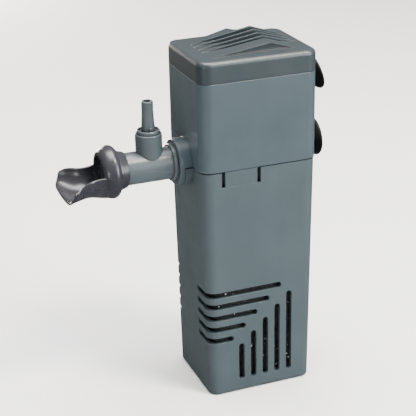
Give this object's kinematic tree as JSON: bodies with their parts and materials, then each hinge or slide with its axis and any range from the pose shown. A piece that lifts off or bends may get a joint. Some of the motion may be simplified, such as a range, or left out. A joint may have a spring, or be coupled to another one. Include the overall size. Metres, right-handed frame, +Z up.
{
  "type": "internal aquarium power filter",
  "caption": "Internal aquarium filter: slotted tapered canister with foam, lift-off pump head, suction cups and a swivelling outlet with air nipple and duckbill nozzle.",
  "frame": {"origin": "centre of the canister's bottom face", "axes": "+Z up, the outlet points along -X, the suction cups face +X, the broad face with the front latch faces -Y"},
  "size_m": [0.1502, 0.0574, 0.2065],
  "materials": {
    "canister_plastic": "satin",
    "head_plastic": "satin",
    "lid_plastic": "satin",
    "outlet_plastic": "satin",
    "nozzle_plastic": "satin",
    "foam": "open-cell foam",
    "inner_plastic": "satin",
    "rubber_black": "matt",
    "cup_rubber": "smooth",
    "laminations": "stacked sheet",
    "bobbin_plastic": "satin",
    "copper_wire": "enamelled wire",
    "resin_black": "satin",
    "ceramic": "polished",
    "ferrite": "ground",
    "impeller_plastic": "satin"
  },
  "bodies": {
    "canister": {"filter_canister": "canister_plastic", "sponge_cartridge": "foam", "core_strainer": "inner_plastic"},
    "latch_front": {"latch_tab_front": "canister_plastic"},
    "latch_back": {"latch_tab_back": "canister_plastic"},
    "pump_head": {"head_housing": "head_plastic", "top_cap": "lid_plastic", "lid_seal_ring": "rubber_black", "stator_core": "laminations", "coil_bobbin": "bobbin_plastic", "stator_coil": "copper_wire", "potting_resin": "resin_black", "cable_gland": "rubber_black", "rotor_shaft": "ceramic", "shaft_bush_upper": "rubber_black", "shaft_bush_lower": "rubber_black", "impeller_cover": "inner_plastic", "cover_seal_ring": "rubber_black", "suction_cup_upper": "cup_rubber", "suction_cup_lower": "cup_rubber"},
    "rotor": {"rotor_magnet": "ferrite", "rotor_sleeve": "impeller_plastic", "impeller": "impeller_plastic", "thrust_washer_upper": "ceramic", "thrust_washer_lower": "ceramic"},
    "outlet": {"outlet_tube": "outlet_plastic", "outlet_o_ring": "rubber_black"},
    "air_regulator": {"air_nipple_cap": "outlet_plastic", "nipple_o_ring": "rubber_black"},
    "nozzle": {"duckbill_nozzle": "nozzle_plastic"}
  },
  "joints": [
    {"name": "latch_front_flex", "type": "hinge", "parent": "canister", "child": "latch_front", "pos_m": [-0.01153, -0.0268, 0.1295], "axis": [1, 0, 0], "range_deg": [0, 8], "stiffness_Nm_per_rad": 0.4},
    {"name": "latch_back_flex", "type": "hinge", "parent": "canister", "child": "latch_back", "pos_m": [-0.01153, 0.0268, 0.1295], "axis": [-1, 0, 0], "range_deg": [0, 8], "stiffness_Nm_per_rad": 0.4},
    {"name": "head_lift", "type": "slide", "parent": "canister", "child": "pump_head", "axis": [0, 0, 1], "range_m": [0, 0.06]},
    {"name": "rotor_spin", "type": "hinge", "parent": "pump_head", "child": "rotor", "pos_m": [0, 0, 0.15], "axis": [0, 0, 1], "continuous": true},
    {"name": "outlet_swivel", "type": "hinge", "parent": "pump_head", "child": "outlet", "pos_m": [-0.0373, 0, 0.1383], "axis": [1, 0, 0], "range_deg": [-90, 90]},
    {"name": "air_dial", "type": "hinge", "parent": "outlet", "child": "air_regulator", "pos_m": [-0.0548, 0, 0.1575], "axis": [0, 0, 1], "range_deg": [0, 90]},
    {"name": "nozzle_turn", "type": "hinge", "parent": "outlet", "child": "nozzle", "pos_m": [-0.073, 0, 0.1383], "axis": [1, 0, 0], "continuous": true}
  ]
}
